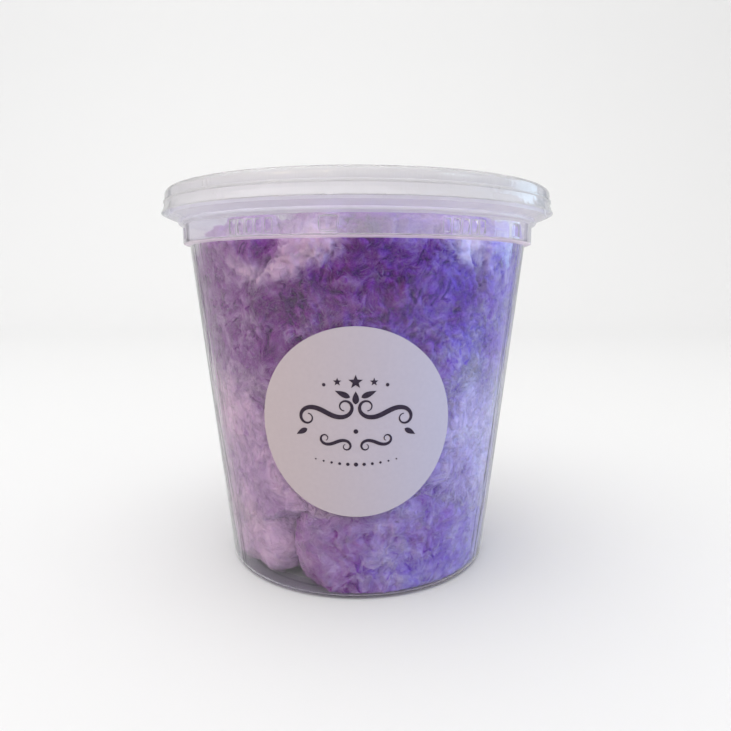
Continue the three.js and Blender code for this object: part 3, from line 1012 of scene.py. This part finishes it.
bpy.ops.object.select_all(action="DESELECT")
bpy.ops.mesh.primitive_plane_add(size=1)
sweep = bpy.context.object
sweep.name = "sweep"
bpy.ops.object.mode_set(mode="EDIT")
depth = SWEEP_BACK - SWEEP_FRONT
bpy.ops.transform.resize(value=(SWEEP_WIDTH, depth, 1))
bpy.ops.transform.translate(value=(0, (SWEEP_BACK + SWEEP_FRONT) / 2, 0))
bpy.ops.mesh.select_mode(type="EDGE")
bpy.ops.mesh.select_all(action="DESELECT")
bpy.ops.object.mode_set(mode="OBJECT")
for edge in sweep.data.edges:
    ends = [sweep.data.vertices[i].co.y for i in edge.vertices]
    edge.select = min(ends) > 0
bpy.ops.object.mode_set(mode="EDIT")
bpy.ops.mesh.extrude_edges_move(TRANSFORM_OT_translate={"value": (0, 0, SWEEP_TOP)})
bpy.ops.object.mode_set(mode="OBJECT")
round_off = sweep.modifiers.new("curve", "BEVEL")
round_off.width = SWEEP_CURVE
round_off.segments = 24
round_off.limit_method = "ANGLE"
bpy.ops.object.modifier_apply(modifier=round_off.name)
bpy.ops.object.shade_smooth()
sweep_paint = bpy.data.materials.new("pale_sweep")
sweep_paint.use_nodes = True
pale_paint = sweep_paint.node_tree.nodes["Principled BSDF"]
pale_paint.inputs["Base Color"].default_value = linear(238, 238, 238)
pale_paint.inputs["Roughness"].default_value = 0.7
sweep.data.materials.append(sweep_paint)
sweep.visible_glossy = False

# ---- the flags -----------------------------------------------------------------------------------
# Two dark cards far back beside the view. They are seen only in the plastic, as dark lines along the
# edges of its wall.
FLAG_WIDTH = 0.35
FLAG_HEIGHT = 1.6
FLAG_PLACE = (1.3, 1.35, 0.5)

flag_card = bpy.data.materials.new("dark_card")
flag_card.use_nodes = True
flag_card.node_tree.nodes["Principled BSDF"].inputs["Base Color"].default_value = linear(70, 72, 84)
for side in (-1, 1):
    bpy.ops.object.select_all(action="DESELECT")
    bpy.ops.mesh.primitive_plane_add(size=1)
    flag = bpy.context.object
    flag.name = "flag_left" if side < 0 else "flag_right"
    bpy.ops.object.mode_set(mode="EDIT")
    bpy.ops.transform.rotate(value=math.pi / 2, orient_axis="X", center_override=(0, 0, 0))
    bpy.ops.transform.resize(value=(FLAG_WIDTH, 1, FLAG_HEIGHT))
    bpy.ops.transform.translate(value=(side * FLAG_PLACE[0], FLAG_PLACE[1], FLAG_PLACE[2]))
    bpy.ops.object.mode_set(mode="OBJECT")
    flag.data.materials.append(flag_card)
    flag.visible_camera = flag.visible_diffuse = flag.visible_shadow = False

# ---- the light -----------------------------------------------------------------------------------
# Soft light from overhead in a pale room. A warm gel on the left and a cool one on the right tint the
# sugar and the label alone, a cool window stands on the right, and three small lamps light the lid
# alone. Mirrored, the room is dim on the camera's side.
scene = bpy.context.scene
scene.view_settings.view_transform = "Standard"
room = bpy.data.worlds.new("room")
room.use_nodes = True
room_nodes, room_links = room.node_tree.nodes, room.node_tree.links
room_light = room_nodes["Background"]
room_light.inputs["Color"].default_value = (1.0, 0.995, 0.995, 1)
room_light.inputs["Strength"].default_value = 0.77
seen_room = room_nodes.new("ShaderNodeBackground")
seen_room.inputs["Strength"].default_value = 0.86
mirrored_room = room_nodes.new("ShaderNodeBackground")
towards = room_nodes.new("ShaderNodeSeparateXYZ")
room_links.new(room_nodes.new("ShaderNodeTexCoord").outputs["Generated"], towards.inputs[0])
behind = room_nodes.new("ShaderNodeMapRange")
behind.inputs["From Min"].default_value = -0.3
behind.inputs["From Max"].default_value = 0.9
behind.inputs["To Min"].default_value = 0.1
behind.inputs["To Max"].default_value = 0.8
room_links.new(towards.outputs["Y"], behind.inputs["Value"])
room_links.new(behind.outputs["Result"], mirrored_room.inputs["Strength"])
room_ray = room_nodes.new("ShaderNodeLightPath")
seen = room_nodes.new("ShaderNodeMath")
seen.operation = "MAXIMUM"
room_links.new(room_ray.outputs["Is Camera Ray"], seen.inputs[0])
room_links.new(room_ray.outputs["Is Transmission Ray"], seen.inputs[1])
lit_or_seen = room_nodes.new("ShaderNodeMixShader")
room_links.new(seen.outputs[0], lit_or_seen.inputs["Fac"])
room_links.new(room_light.outputs[0], lit_or_seen.inputs[1])
room_links.new(seen_room.outputs[0], lit_or_seen.inputs[2])
or_mirrored = room_nodes.new("ShaderNodeMixShader")
room_links.new(room_ray.outputs["Is Glossy Ray"], or_mirrored.inputs["Fac"])
room_links.new(lit_or_seen.outputs[0], or_mirrored.inputs[1])
room_links.new(mirrored_room.outputs[0], or_mirrored.inputs[2])
room_links.new(or_mirrored.outputs[0], room_nodes["World Output"].inputs["Surface"])
scene.world = room


def panel(name, place, aim, size, watts, colour):
    """A soft rectangular light panel that faces a point."""
    bpy.ops.object.light_add(type="AREA", location=place)
    light = bpy.context.object
    light.name = name
    light.rotation_euler = (Vector(aim) - Vector(place)).to_track_quat("-Z", "Y").to_euler()
    light.data.shape = "RECTANGLE"
    light.data.size, light.data.size_y = size
    light.data.energy = watts
    light.data.color = colour
    light.visible_camera = light.visible_transmission = False
    return light


middle = (0, 0, 0.06)
panel("overhead", (-0.4, -0.6, 2.2), middle, (3.0, 3.0), 32.5, (1.0, 1.0, 0.99))
panel("key", (-0.9, -0.3, 0.7), middle, (0.6, 0.6), 0.35, (1.0, 0.98, 0.95))
panel("backdrop_light", (0, 0.3, 1.7), (0, 1.6, 0.3), (3.0, 0.6), 0.4, (1.0, 1.0, 1.0))
beside_object = (
    panel("warm_gel", (-0.6, -0.42, 0.39), middle, (0.5, 0.4), 1.4, (1.0, 0.64, 0.52)),
    panel("warm_lamp", (-0.41, -0.5, 0.29), middle, (0.16, 0.05), 0.34, (1.0, 0.86, 0.62)),
    panel("second_warm_lamp", (-0.2, -0.6, 0.29), middle, (0.1, 0.04), 0.2, (1.0, 0.86, 0.62)),
    panel("cool_lamp", (0.5, -0.38, 0.29), middle, (0.08, 0.05), 0.3, (0.7, 0.92, 1.0)),
    panel("cool_gel", (0.6, -0.25, 0.39), middle, (0.5, 0.4), 4.9, (0.2, 0.44, 1.0)),
    panel("cool_window", (0.52, 0.14, 0.2), middle, (0.3, 0.3), 0.6, (0.55, 0.78, 1.0)),
)


def all_but(name, *objects):
    """A collection that links a light to everything but some objects."""
    linked = bpy.data.collections.new(name)
    for kept_dark in objects:
        linked.objects.link(kept_dark)
    for entry in linked.collection_objects:
        entry.light_linking.link_state = "EXCLUDE"
    return linked


not_the_sweep = all_but("not_the_sweep", sweep)
not_the_plastic = all_but("not_the_sweep_or_plastic", sweep, lid, tub)
only_the_lid = bpy.data.collections.new("only_the_lid")
only_the_lid.objects.link(lid)
for light in beside_object:
    receivers = not_the_plastic if "gel" in light.name else not_the_sweep
    light.light_linking.receiver_collection = only_the_lid if "lamp" in light.name else receivers

# ---- the camera ----------------------------------------------------------------------------------
# Close to the tub and a little below its lid, looking slightly down.
CAMERA_PLACE = (2.45 * MM, -196.1 * MM, 87.4 * MM)
CAMERA_PITCH = 8.16
CAMERA_LENS = 29.686

bpy.ops.object.camera_add(location=CAMERA_PLACE)
camera = bpy.context.object
camera.rotation_euler = (math.radians(90 - CAMERA_PITCH), 0, 0)
camera.data.lens = CAMERA_LENS
camera.data.sensor_width = 36
camera.data.clip_start = 0.01
scene.camera = camera
